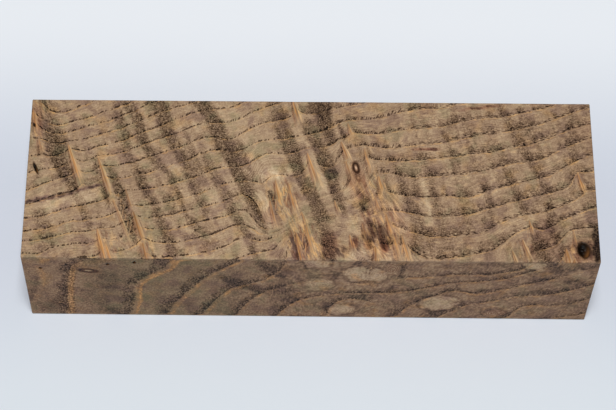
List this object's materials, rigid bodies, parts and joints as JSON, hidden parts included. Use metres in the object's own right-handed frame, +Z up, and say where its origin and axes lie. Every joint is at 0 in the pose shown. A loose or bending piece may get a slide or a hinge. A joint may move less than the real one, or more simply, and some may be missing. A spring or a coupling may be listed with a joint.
{
  "type": "stabilized ash wood block",
  "caption": "Rectangular block of stabilized ash burl, sawn and sanded on all faces, with curly grain, growth rings, knots and small bark hollows.",
  "frame": {"origin": "middle of the bottom face's box, on the surface that the block lies on", "axes": "+X along the block's length towards its wider end, +Z up from the bottom face, -Y out of the front face"},
  "size_m": [0.13, 0.042, 0.0288],
  "materials": {
    "ash_wood": "sanded satin"
  },
  "bodies": {
    "root": {"ash_block": "ash_wood"}
  },
  "joints": []
}
